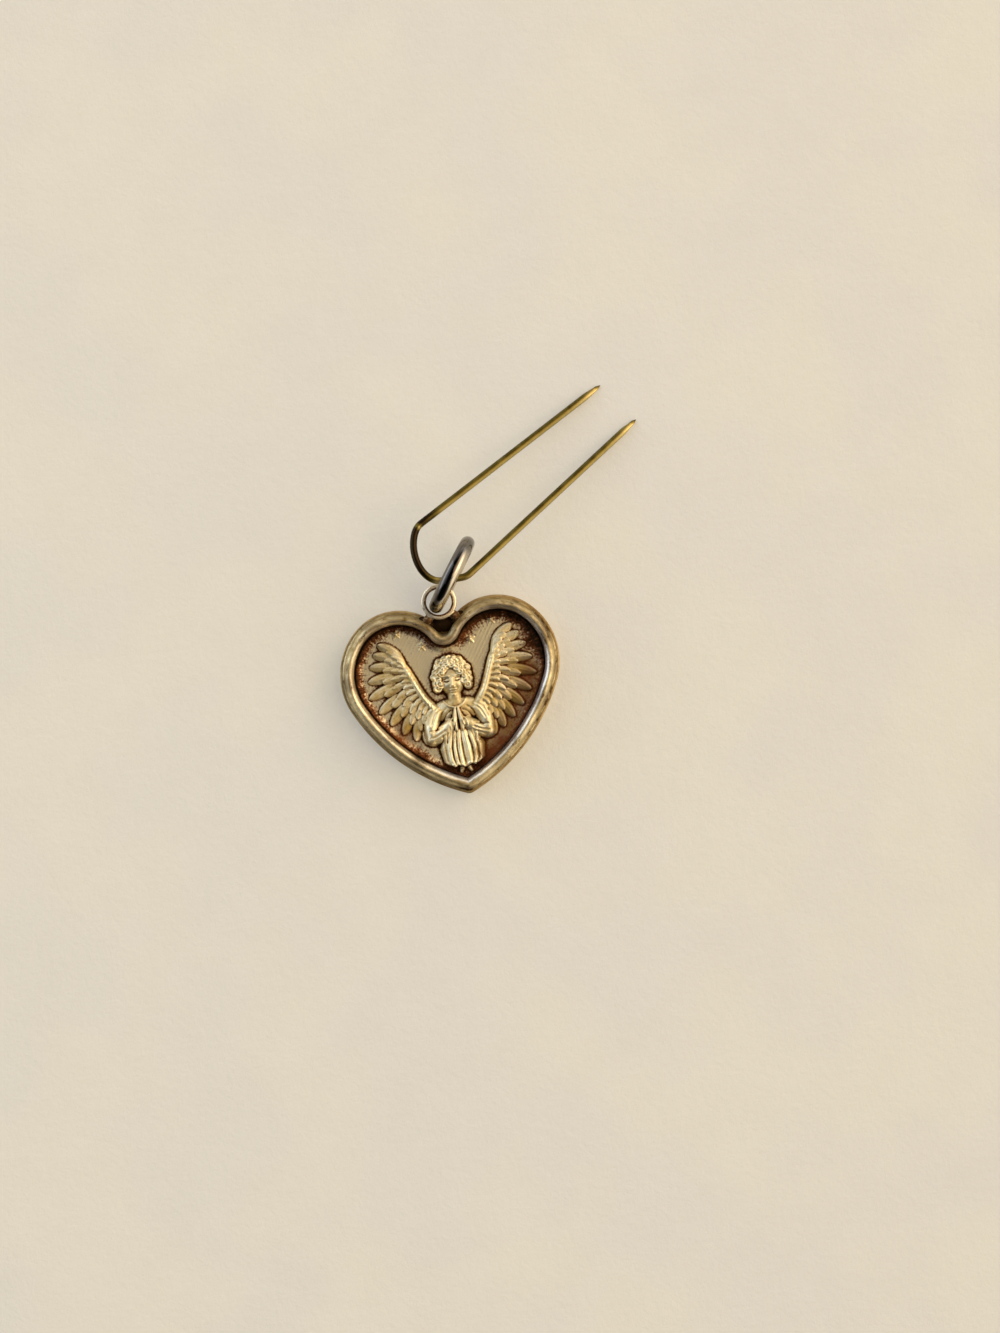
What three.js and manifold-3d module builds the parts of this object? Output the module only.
// Angel heart pendant: a heart medal with a soldered lug, a jump ring and a bent wire pin.
// Sizes are in millimetres. The medal lies face up with +Z out of its face and +Y towards
// the lug. The origin is on its flat back, and the heart is symmetric about the YZ plane.
import * as THREE from 'three';
import { mergeVertices } from 'three/addons/utils/BufferGeometryUtils.js';
import Module from 'manifold-3d';

// Heart outline: tangent arcs for lobe, side, flank and tip. Angles are in degrees from +X.
const LOBE_X = 4.15;
const LOBE_Y = 3.41;
const LOBE_R = 4.73;
const LOBE_END = 46;
const SIDE_GROWTH = 1.02;
const SIDE_END = -25;
const FLANK_GROWTH = 10.45;
const TIP_R = 0.72;
const SHARPEST_R = 0.12;
const NOTCH_R = 0.18;

// Back plate with its turned-up lip.
const BACK_THICKNESS = 0.6;
const LIP_WALL = 0.35;
const LIP_HEIGHT = 0.85;
const BACK_ROUNDING = 0.12;

// Struck plaque inside the lip, and the domed frame that holds it down.
const FIT_GAP = 0.05;
const PLAQUE_THICKNESS = 0.6;
const FRAME_WIDTH = 0.75;
const FRAME_WALL = 0.85;
const FRAME_DOME = 0.55;
const FRAME_BEVEL = 0.1;
const RELIEF_GAP = 0.1;

// Lug: a flat soldered loop above the notch, and its two solder feet.
const LUG_RISE = 2.39;
const LUG_R = 1.27;
const LUG_BAND = 0.41;
const LUG_HEIGHT = 0.56;
const LUG_ROUNDING = 0.1;
const LUG_ABOVE_LIP = 0.42;
const FOOT_R = 0.5;
const FOOT_HALF_HEIGHT = 0.4;
const SOLDER_GAP = 0.05;

// Jump ring: round wire with a butt joint, standing on its edge through the lug.
const RING_R = 2.9;
const RING_WIRE = 1.2;
const RING_HEADING = 54.2;
const RING_JOINT = 0.1;
const RING_JOINT_ANGLE = -35;

// Wire pin: round wire bent to a narrow U with two sharpened legs, threaded through the ring.
const PIN_WIRE = 0.6;
const PIN_LEG = 19.4;
const PIN_OVER_LUG = 0.05;
const PIN_PAST_LUG = 0.2;
const PIN_FOOT_X = 2.62;
const PIN_FLAT = 2;
const PIN_OPENING = 4.78;
const PIN_CORNER_X = -0.75;
const PIN_BULGE = 0.9;
const PIN_SWEEP = 1.7;
const PIN_CORNER_R = 0.45;
const UPPER_LEG_HEADING = 28.6;
const LOWER_LEG_HEADING = 33.7;
const PIN_POINT = 2.3;
const PIN_TIP_Z = 0.05;
const POINT_OVERLAP = 0.05;

// Praying angel on the plaque. Places are on the field and rises are above it.
const HEAD_Y = 1.75;
const HEAD_HALF_WIDTH = 1.15;
const HEAD_HALF_HEIGHT = 1.45;
const HEAD_RISE = 1.1;
const CURL_COUNT = 11;
const CURL_R = 0.52;
const CURL_RISE = 0.95;
const CURL_START = -18;
const CURL_PLACE = 0.13;
const FRINGE_COUNT = 6;
const FRINGE_START = 35;
const FRINGE_PLACE = -0.26;
const NECK_HALF_WIDTH = 0.55;
const SHOULDER_Y = -0.85;
const SHOULDER_HALF_WIDTH = 2.4;
const SHOULDER_HALF_HEIGHT = 1.05;
const ROBE_RISE = 0.7;
const ROBE_HALF_WIDTH = 2.15;
const ROBE_WAIST = 2.1;
const FOLD_COUNT = 7;
const FOLD_HALF_WIDTH = 0.3;
const FOLD_LENGTH = 3.4;
const FOLD_SPREAD = 1.8;
const HEM_SPREAD = 0.6;
const FOLD_RISE = 0.92;
const ELBOW_X = 2.35;
const ELBOW_DROP = 2.1;
const SLEEVE_HALF_WIDTH = 0.6;
const SLEEVE_RISE = 0.95;
const FOREARM_RISE = 1.05;
const HAND_HALF_WIDTH = 0.42;
const HAND_HALF_LENGTH = 0.95;
const HAND_DROP = 0.75;
const HAND_RISE = 1.12;
const WRIST_X = 3.75;
const WRIST_Y = 3.3;
const WING_ROOT_X = 1.9;
const FEATHER_COUNT = 10;
const FEATHER_LENGTH = 4.15;
const FEATHER_TAPER = 0.32;
const LONGEST_FEATHER = 0.45;
const FEATHER_HALF_WIDTH = 0.46;
const FEATHER_RISE = 0.38;
const TOP_FEATHER_HEADING = 54;
const LOW_FEATHER_HEADING = -66;
const COVERT_LENGTH = 2.1;
const COVERT_RISE = 0.6;
const WING_ARM_HALF_WIDTH = 0.5;
const WING_ARM_RISE = 0.78;
const STAR_POINTS = 5;
const STAR_R = 0.5;
const STAR_WAIST_R = 0.21;
const STAR_RISE = 0.25;
const NEAR_STAR = new THREE.Vector2(2.05, 4.8);
const FAR_STAR = new THREE.Vector2(4.0, 6.15);

// Fineness of the faceted curves.
const NOTCH_STEPS = 3;
const LOBE_STEPS = 15;
const SIDE_STEPS = 9;
const FLANK_STEPS = 6;
const TIP_STEPS = 4;
const DOME_STEPS = 6;
const LUG_STEPS = 40;
const WIRE_SIDES = 8;
const RING_SIDES = 10;
const RING_STEPS = 60;
const PIN_STEPS = 120;
const DOME_SIDES = 10;
const DOME_RINGS = 6;
const FOOT_SIDES = 12;
const HEAD_SIDES = 16;
const HEAD_RINGS = 10;

// Heights that follow from the stack of back plate, plaque and frame.
const FIELD_Z = BACK_THICKNESS + PLAQUE_THICKNESS;
const LIP_Z = BACK_THICKNESS + LIP_HEIGHT;
const SHOULDER_Z = FIELD_Z + FRAME_WALL;
const CROWN_Z = SHOULDER_Z + FRAME_DOME;
const LUG_Z = LIP_Z + LUG_ABOVE_LIP + LUG_HEIGHT / 2;

// Insets from the heart outline at which one piece ends and the next begins.
const FRAME_INSET = LIP_WALL + FIT_GAP;
const CROWN_END_INSET = FRAME_INSET + FRAME_WIDTH;
const WINDOW_INSET = CROWN_END_INSET + FRAME_BEVEL;

const wasm = await Module();
wasm.setup();

const silver = new THREE.MeshStandardMaterial({ color: 0xa3937a, roughness: 0.42, metalness: 1 });
const darkSilver = new THREE.MeshStandardMaterial({ color: 0x7d6d55, roughness: 0.5, metalness: 1 });
const fieldSilver = new THREE.MeshStandardMaterial({ color: 0x9c8761, roughness: 0.48, metalness: 1 });
const paleSilver = new THREE.MeshStandardMaterial({ color: 0xc9bda6, roughness: 0.38, metalness: 1 });
const steel = new THREE.MeshStandardMaterial({ color: 0x8f8b85, roughness: 0.25, metalness: 1 });
const brass = new THREE.MeshStandardMaterial({ color: 0x8d7a3c, roughness: 0.32, metalness: 1 });

/** Turns a closed geometry into a solid that can be joined and cut. */
function solidOf(geometry) {
  const bare = geometry.clone();
  bare.deleteAttribute('normal');
  bare.deleteAttribute('uv');
  const merged = mergeVertices(bare);
  const mesh = new wasm.Mesh({
    numProp: 3,
    vertProperties: new Float32Array(merged.attributes.position.array),
    triVerts: new Uint32Array(merged.index.array),
  });
  return new wasm.Manifold(mesh);
}

/** Gives a solid back as a geometry with flat-shaded faces. */
function geometryOf(solid) {
  const mesh = solid.getMesh();
  const geometry = new THREE.BufferGeometry();
  geometry.setAttribute('position', new THREE.BufferAttribute(mesh.vertProperties, 3));
  geometry.setIndex(new THREE.BufferAttribute(mesh.triVerts, 1));
  geometry.computeVertexNormals();
  return geometry;
}

/** Makes one named piece of the pendant. */
function piece(name, geometry, material) {
  const mesh = new THREE.Mesh(geometry, material);
  mesh.name = name;
  return mesh;
}

/** Point at a distance and heading in degrees from a centre, in plan. */
function polar(centre, radius, degrees) {
  const angle = THREE.MathUtils.degToRad(degrees);
  return new THREE.Vector2(Math.cos(angle), Math.sin(angle)).multiplyScalar(radius).add(centre);
}

/** Points along an arc, both ends included. */
function arc(centre, radius, from, to, steps) {
  const points = [];
  for (let i = 0; i <= steps; i += 1) {
    points.push(polar(centre, radius, from + ((to - from) * i) / steps));
  }
  return points;
}

/** Centre of the small arc at the bottom of the notch. */
function notchCentre() {
  const reach = LOBE_R + NOTCH_R;
  return new THREE.Vector2(0, LOBE_Y + Math.sqrt(reach ** 2 - LOBE_X ** 2));
}

/** Heart outline moved inwards by an inset: clockwise from the notch, without a repeated point. */
function heartOutline(inset) {
  const lobe = new THREE.Vector2(LOBE_X, LOBE_Y);
  const side = polar(lobe, -SIDE_GROWTH, LOBE_END);
  const flank = polar(side, -FLANK_GROWTH, SIDE_END);
  const lobeRadius = LOBE_R - inset;
  const sideRadius = lobeRadius + SIDE_GROWTH;
  const flankRadius = sideRadius + FLANK_GROWTH;
  const notch = notchCentre();
  const notchTurn = THREE.MathUtils.radToDeg(Math.atan2(LOBE_Y - notch.y, LOBE_X));
  const tipRadius = Math.max(TIP_R - inset, SHARPEST_R);
  const tipReach = flankRadius - tipRadius;
  const tip = new THREE.Vector2(0, flank.y - Math.sqrt(tipReach ** 2 - flank.x ** 2));
  const tipTurn = THREE.MathUtils.radToDeg(Math.atan2(tip.y - flank.y, -flank.x));
  const half = [
    ...arc(notch, NOTCH_R + inset, -90, notchTurn, NOTCH_STEPS),
    ...arc(lobe, lobeRadius, 180 + notchTurn, LOBE_END, LOBE_STEPS).slice(1),
    ...arc(side, sideRadius, LOBE_END, SIDE_END, SIDE_STEPS).slice(1),
    ...arc(flank, flankRadius, SIDE_END, tipTurn, FLANK_STEPS).slice(1),
    ...arc(tip, tipRadius, tipTurn, -90, TIP_STEPS).slice(1),
  ];
  const mirrored = half.slice(1, -1).reverse().map((point) => new THREE.Vector2(-point.x, point.y));
  return [...half, ...mirrored];
}

/** Heart-shaped slab between two heights. */
function heartSlab(inset, low, high) {
  const shape = new THREE.Shape(heartOutline(inset));
  const slab = new THREE.ExtrudeGeometry(shape, { depth: high - low, bevelEnabled: false });
  return slab.translate(0, 0, low);
}

/** Band that follows the heart: a closed section of insets and heights, taken round the outline. */
function heartBand(section) {
  const rows = section.map((corner) => heartOutline(corner.x).map((point) => [point.x, point.y, corner.y]));
  const around = rows[0].length;
  const indices = [];
  for (let row = 0; row < rows.length; row += 1) {
    const nextRow = (row + 1) % rows.length;
    for (let i = 0; i < around; i += 1) {
      const next = (i + 1) % around;
      const corners = [row * around + i, row * around + next, nextRow * around + next, nextRow * around + i];
      indices.push(corners[0], corners[2], corners[1], corners[0], corners[3], corners[2]);
    }
  }
  const band = new THREE.BufferGeometry();
  band.setAttribute('position', new THREE.Float32BufferAttribute(rows.flat(2), 3));
  band.setIndex(indices);
  return band;
}

/** Low dome on the field: the upper half of an ellipsoid, turned in plan by degrees. */
function dome(x, y, halfLength, halfWidth, rise, turn = 0, sides = DOME_SIDES, rings = DOME_RINGS) {
  const ball = new THREE.SphereGeometry(1, sides, rings);
  ball.rotateX(Math.PI / 2);
  ball.scale(halfLength, halfWidth, rise);
  ball.rotateZ(THREE.MathUtils.degToRad(turn));
  ball.translate(x, y, FIELD_Z);
  return solidOf(ball);
}

/** Low dome that runs from one point of the field to another. */
function limb(from, to, halfWidth, rise) {
  const middle = from.clone().lerp(to, 0.5);
  const reach = from.distanceTo(to) / 2 + halfWidth;
  const turn = THREE.MathUtils.radToDeg(to.clone().sub(from).angle());
  return dome(middle.x, middle.y, reach, halfWidth, rise, turn);
}

/** Back plate: a heart-shaped tray whose lip stands up round the plaque. */
function backPlate() {
  const shape = new THREE.Shape(heartOutline(BACK_ROUNDING));
  const tray = new THREE.ExtrudeGeometry(shape, {
    depth: LIP_Z - 2 * BACK_ROUNDING,
    bevelSize: BACK_ROUNDING,
    bevelThickness: BACK_ROUNDING,
    bevelSegments: 2,
  });
  tray.translate(0, 0, BACK_ROUNDING);
  const pocket = heartSlab(LIP_WALL, BACK_THICKNESS, LIP_Z + LIP_HEIGHT);
  return geometryOf(solidOf(tray).subtract(solidOf(pocket)));
}

/** Frame: a domed heart-shaped rim with a sloping inner wall, seated on the plaque. */
function heartFrame() {
  const section = [new THREE.Vector2(FRAME_INSET, FIELD_Z)];
  for (let i = 0; i <= DOME_STEPS; i += 1) {
    const angle = (Math.PI * i) / DOME_STEPS;
    const inset = FRAME_INSET + (FRAME_WIDTH / 2) * (1 - Math.cos(angle));
    section.push(new THREE.Vector2(inset, SHOULDER_Z + FRAME_DOME * Math.sin(angle)));
  }
  section.push(new THREE.Vector2(WINDOW_INSET, FIELD_Z));
  return geometryOf(solidOf(heartBand(section)));
}

/** One wing: long feathers fanned along the arm, coverts over them and the arm's ridge. */
function wing(sign) {
  const wrist = new THREE.Vector2(sign * WRIST_X, WRIST_Y);
  const root = new THREE.Vector2(sign * WING_ROOT_X, SHOULDER_Y);
  let solid = limb(wrist, root, WING_ARM_HALF_WIDTH, WING_ARM_RISE);
  for (let i = 0; i < FEATHER_COUNT; i += 1) {
    const share = i / (FEATHER_COUNT - 1);
    const start = wrist.clone().lerp(root, share);
    const heading = THREE.MathUtils.lerp(TOP_FEATHER_HEADING, LOW_FEATHER_HEADING, share);
    const turn = sign > 0 ? heading : 180 - heading;
    const taper = 1 - 2 * FEATHER_TAPER * Math.abs(share - LONGEST_FEATHER);
    const featherTip = polar(start, FEATHER_LENGTH * taper, turn);
    const covertTip = polar(start, COVERT_LENGTH * taper, turn);
    solid = solid.add(limb(start, featherTip, FEATHER_HALF_WIDTH, FEATHER_RISE));
    solid = solid.add(limb(start, covertTip, FEATHER_HALF_WIDTH, COVERT_RISE));
  }
  return solid;
}

/** Sleeve and forearm on one side, meeting the folded hands. */
function arm(sign) {
  const shoulder = new THREE.Vector2(sign * (SHOULDER_HALF_WIDTH - SLEEVE_HALF_WIDTH), SHOULDER_Y);
  const elbow = new THREE.Vector2(sign * ELBOW_X, SHOULDER_Y - ELBOW_DROP);
  const hand = new THREE.Vector2(sign * HAND_HALF_WIDTH, SHOULDER_Y - HAND_DROP);
  const upper = limb(shoulder, elbow, SLEEVE_HALF_WIDTH, SLEEVE_RISE);
  return upper.add(limb(elbow, hand, SLEEVE_HALF_WIDTH, FOREARM_RISE));
}

/** Curls along an arc round the head, from a start angle to its mirror image. */
function curls(count, start, reach) {
  let solid = null;
  for (let i = 0; i < count; i += 1) {
    const angle = THREE.MathUtils.degToRad(start + ((180 - 2 * start) * i) / (count - 1));
    const x = (HEAD_HALF_WIDTH + reach) * Math.cos(angle);
    const y = HEAD_Y + (HEAD_HALF_HEIGHT + reach) * Math.sin(angle);
    const curl = dome(x, y, CURL_R, CURL_R, CURL_RISE);
    solid = solid ? solid.add(curl) : curl;
  }
  return solid;
}

/** Head with a cap of curls, and the neck under it. */
function head() {
  const face = dome(0, HEAD_Y, HEAD_HALF_HEIGHT, HEAD_HALF_WIDTH, HEAD_RISE, 90, HEAD_SIDES, HEAD_RINGS);
  const chin = new THREE.Vector2(0, HEAD_Y - HEAD_HALF_HEIGHT);
  const neck = limb(chin, new THREE.Vector2(0, SHOULDER_Y), NECK_HALF_WIDTH, FOLD_RISE);
  const outer = curls(CURL_COUNT, CURL_START, CURL_PLACE);
  return face.add(neck).add(outer).add(curls(FRINGE_COUNT, FRINGE_START, FRINGE_PLACE));
}

/** Robe: a long body that narrows to the heart's point, with folds that run together there. */
function robe() {
  const waist = SHOULDER_Y - ROBE_WAIST;
  const bust = dome(0, SHOULDER_Y, SHOULDER_HALF_WIDTH, SHOULDER_HALF_HEIGHT, ROBE_RISE, 0, HEAD_SIDES);
  const body = dome(0, waist, ROBE_WAIST + SHOULDER_HALF_HEIGHT, ROBE_HALF_WIDTH, ROBE_RISE, 90, HEAD_SIDES);
  let solid = bust.add(body);
  for (let i = 0; i < FOLD_COUNT; i += 1) {
    const spread = (2 * i) / (FOLD_COUNT - 1) - 1;
    const top = new THREE.Vector2(spread * FOLD_SPREAD, waist);
    const hem = new THREE.Vector2(spread * HEM_SPREAD, waist - FOLD_LENGTH);
    solid = solid.add(limb(top, hem, FOLD_HALF_WIDTH, FOLD_RISE));
  }
  return solid;
}

/** Star standing on the field. */
function star(centre) {
  const points = [];
  for (let i = 0; i < 2 * STAR_POINTS; i += 1) {
    points.push(polar(centre, i % 2 === 0 ? STAR_R : STAR_WAIST_R, 90 + (180 * i) / STAR_POINTS));
  }
  const shape = new THREE.Shape(points);
  const solid = new THREE.ExtrudeGeometry(shape, { depth: 2 * STAR_RISE, bevelEnabled: false });
  return solidOf(solid.translate(0, 0, FIELD_Z - STAR_RISE));
}

/** Struck plaque: a heart-shaped sheet with the angel and four stars raised inside the window. */
function reliefPlaque() {
  const handY = SHOULDER_Y - HAND_DROP;
  let figure = robe().add(head());
  for (const sign of [-1, 1]) {
    figure = figure.add(wing(sign)).add(arm(sign));
    for (const place of [NEAR_STAR, FAR_STAR]) {
      figure = figure.add(star(new THREE.Vector2(sign * place.x, place.y)));
    }
  }
  figure = figure.add(dome(0, handY, HAND_HALF_LENGTH, HAND_HALF_WIDTH, HAND_RISE, 90));
  const window = solidOf(heartSlab(WINDOW_INSET + RELIEF_GAP, BACK_THICKNESS, CROWN_Z));
  const sheet = solidOf(heartSlab(FRAME_INSET, BACK_THICKNESS, FIELD_Z));
  return geometryOf(sheet.add(figure.intersect(window)));
}

/** Lug: a flat loop with softened edges, and two lumps of solder that reach the frame. */
function lugRing(centre) {
  const half = LUG_BAND / 2;
  const rise = LUG_HEIGHT / 2;
  const profile = [
    new THREE.Vector2(LUG_R - half, -rise + LUG_ROUNDING),
    new THREE.Vector2(LUG_R - half + LUG_ROUNDING, -rise),
    new THREE.Vector2(LUG_R + half - LUG_ROUNDING, -rise),
    new THREE.Vector2(LUG_R + half, -rise + LUG_ROUNDING),
    new THREE.Vector2(LUG_R + half, rise - LUG_ROUNDING),
    new THREE.Vector2(LUG_R + half - LUG_ROUNDING, rise),
    new THREE.Vector2(LUG_R - half + LUG_ROUNDING, rise),
    new THREE.Vector2(LUG_R - half, rise - LUG_ROUNDING),
  ];
  profile.push(profile[0].clone());
  const loop = new THREE.LatheGeometry(profile, LUG_STEPS);
  loop.rotateX(Math.PI / 2);
  loop.translate(centre.x, centre.y, centre.z);
  const lobe = new THREE.Vector2(LOBE_X, LOBE_Y);
  const towardsLobe = lobe.clone().sub(new THREE.Vector2(centre.x, centre.y));
  const footReach = (towardsLobe.length() - LOBE_R + FRAME_INSET + LUG_R + half) / 2;
  const footPlace = towardsLobe.setLength(footReach);
  let lumps = null;
  for (const sign of [-1, 1]) {
    const ball = new THREE.SphereGeometry(1, FOOT_SIDES, DOME_SIDES);
    ball.scale(FOOT_R, FOOT_R, FOOT_HALF_HEIGHT);
    ball.translate(sign * footPlace.x, centre.y + footPlace.y, centre.z);
    lumps = lumps ? lumps.add(solidOf(ball)) : solidOf(ball);
  }
  const bore = new THREE.CylinderGeometry(LUG_R - half, LUG_R - half, 2 * LUG_HEIGHT, LUG_STEPS);
  bore.rotateX(Math.PI / 2);
  bore.translate(centre.x, centre.y, centre.z);
  const frame = solidOf(heartSlab(FRAME_INSET - SOLDER_GAP, LIP_Z, CROWN_Z));
  return geometryOf(solidOf(loop).add(lumps.subtract(solidOf(bore))).subtract(frame));
}

/** Jump ring about its own centre, in the XZ plane, with the slit of its butt joint. */
function jumpRing() {
  const ring = new THREE.TorusGeometry(RING_R, RING_WIRE / 2, RING_SIDES, RING_STEPS);
  const slit = new THREE.BoxGeometry(2 * RING_WIRE, RING_JOINT, 2 * RING_WIRE);
  slit.translate(RING_R, 0, 0);
  slit.rotateZ(THREE.MathUtils.degToRad(RING_JOINT_ANGLE));
  const solid = solidOf(ring).subtract(solidOf(slit));
  return geometryOf(solid).rotateX(Math.PI / 2);
}

/** Centreline of the wire pin, measured along its length. */
class PinCurve extends THREE.Curve {
  constructor(path) {
    super();
    this.path = path;
  }

  getPoint(share) {
    return this.path.getPoint(share);
  }
}

/** Wire pin: its U lies on a plane that rises from the tips to where it crosses the ring. */
function wirePin(crossing) {
  const upperEnd = new THREE.Vector2(PIN_CORNER_X, crossing.y + PIN_OPENING);
  const lowerEnd = new THREE.Vector2(PIN_FOOT_X, crossing.y);
  const upperTip = polar(upperEnd, PIN_LEG, UPPER_LEG_HEADING);
  const lowerTip = polar(lowerEnd, PIN_LEG, LOWER_LEG_HEADING);
  const across = new THREE.Vector2(lowerTip.y - upperTip.y, upperTip.x - lowerTip.x).normalize();
  const span = new THREE.Vector2(crossing.x, crossing.y).sub(lowerTip).dot(across);
  const raised = (point) => {
    const share = point.clone().sub(lowerTip).dot(across) / span;
    return new THREE.Vector3(point.x, point.y, THREE.MathUtils.lerp(PIN_TIP_Z, crossing.z, share));
  };
  const legStart = polar(upperEnd, PIN_CORNER_R, UPPER_LEG_HEADING);
  const bendDown = new THREE.Vector2(-PIN_BULGE, -PIN_SWEEP).normalize();
  const bendStart = upperEnd.clone().addScaledVector(bendDown, PIN_CORNER_R);
  const bendPull = bendStart.clone().add(new THREE.Vector2(-PIN_BULGE, -PIN_SWEEP));
  const flatStart = new THREE.Vector2(PIN_FOOT_X - PIN_FLAT, crossing.y);
  const flatPull = new THREE.Vector2(flatStart.x - PIN_SWEEP, crossing.y);
  const flatEnd = new THREE.Vector2(PIN_FOOT_X - PIN_CORNER_R, crossing.y);
  const lowerStart = polar(lowerEnd, PIN_CORNER_R, LOWER_LEG_HEADING);
  const upperPoint = polar(upperTip, -PIN_POINT, UPPER_LEG_HEADING);
  const lowerPoint = polar(lowerTip, -PIN_POINT, LOWER_LEG_HEADING);
  const bend = [bendStart, bendPull, flatPull, flatStart].map(raised);
  const path = new THREE.CurvePath();
  path.add(new THREE.LineCurve3(raised(upperPoint), raised(legStart)));
  path.add(new THREE.QuadraticBezierCurve3(raised(legStart), raised(upperEnd), raised(bendStart)));
  path.add(new THREE.CubicBezierCurve3(...bend));
  path.add(new THREE.LineCurve3(raised(flatStart), raised(flatEnd)));
  path.add(new THREE.QuadraticBezierCurve3(raised(flatEnd), raised(lowerEnd), raised(lowerStart)));
  path.add(new THREE.LineCurve3(raised(lowerStart), raised(lowerPoint)));
  const section = new THREE.Shape(arc(new THREE.Vector2(), PIN_WIRE / 2, 0, 360, WIRE_SIDES).slice(1));
  const wire = new THREE.ExtrudeGeometry(section, { extrudePath: new PinCurve(path), steps: PIN_STEPS });
  const solid = solidOf(wire);
  const upperCone = sharpPoint(raised(upperPoint), raised(upperTip));
  return geometryOf(solid.add(upperCone).add(sharpPoint(raised(lowerPoint), raised(lowerTip))));
}

/** Sharpened end of a leg: a cone whose base sits a little way inside the wire. */
function sharpPoint(base, tip) {
  const along = tip.clone().sub(base);
  const length = along.length() + POINT_OVERLAP;
  const cone = new THREE.ConeGeometry(PIN_WIRE / 2, length, WIRE_SIDES);
  const upright = new THREE.Vector3(0, 1, 0);
  cone.applyQuaternion(new THREE.Quaternion().setFromUnitVectors(upright, along.normalize()));
  cone.translate(...tip.clone().addScaledVector(along, -length / 2).toArray());
  return solidOf(cone);
}

const lugCentre = new THREE.Vector3(0, notchCentre().y - NOTCH_R + LUG_RISE, LUG_Z);

// The ring stands on the same surface as the medal, and its wire passes midway through the lug.
const ringHeight = RING_R + RING_WIRE / 2;
const ringLift = ringHeight - LUG_Z;
const ringReach = RING_R * Math.sqrt(1 - ringLift ** 2 / (RING_R ** 2 - LUG_R ** 2));
const ringPlace = polar(new THREE.Vector2(lugCentre.x, lugCentre.y), ringReach, RING_HEADING);

// The pin crosses the ring's plane just past the lug's edge and above its top.
const crossY = lugCentre.y + LUG_R + LUG_BAND / 2 + PIN_PAST_LUG;
const crossX = (crossY - lugCentre.y) / Math.tan(THREE.MathUtils.degToRad(RING_HEADING));
const crossZ = LUG_Z + (LUG_HEIGHT + PIN_WIRE) / 2 + PIN_OVER_LUG;

const ringStand = new THREE.Group();
ringStand.position.set(ringPlace.x, ringPlace.y, ringHeight);
ringStand.rotation.z = THREE.MathUtils.degToRad(RING_HEADING);
ringStand.add(piece('jump_ring', jumpRing(), steel));

const medal = new THREE.Group();
medal.add(piece('back_plate', backPlate(), darkSilver));
medal.add(piece('relief_plaque', reliefPlaque(), fieldSilver));
medal.add(piece('heart_frame', heartFrame(), silver));
medal.add(piece('lug_ring', lugRing(lugCentre), paleSilver));

const pendant = new THREE.Group();
pendant.add(medal);
pendant.add(ringStand);
pendant.add(piece('wire_pin', wirePin(new THREE.Vector3(crossX, crossY, crossZ)), brass));

export default pendant;
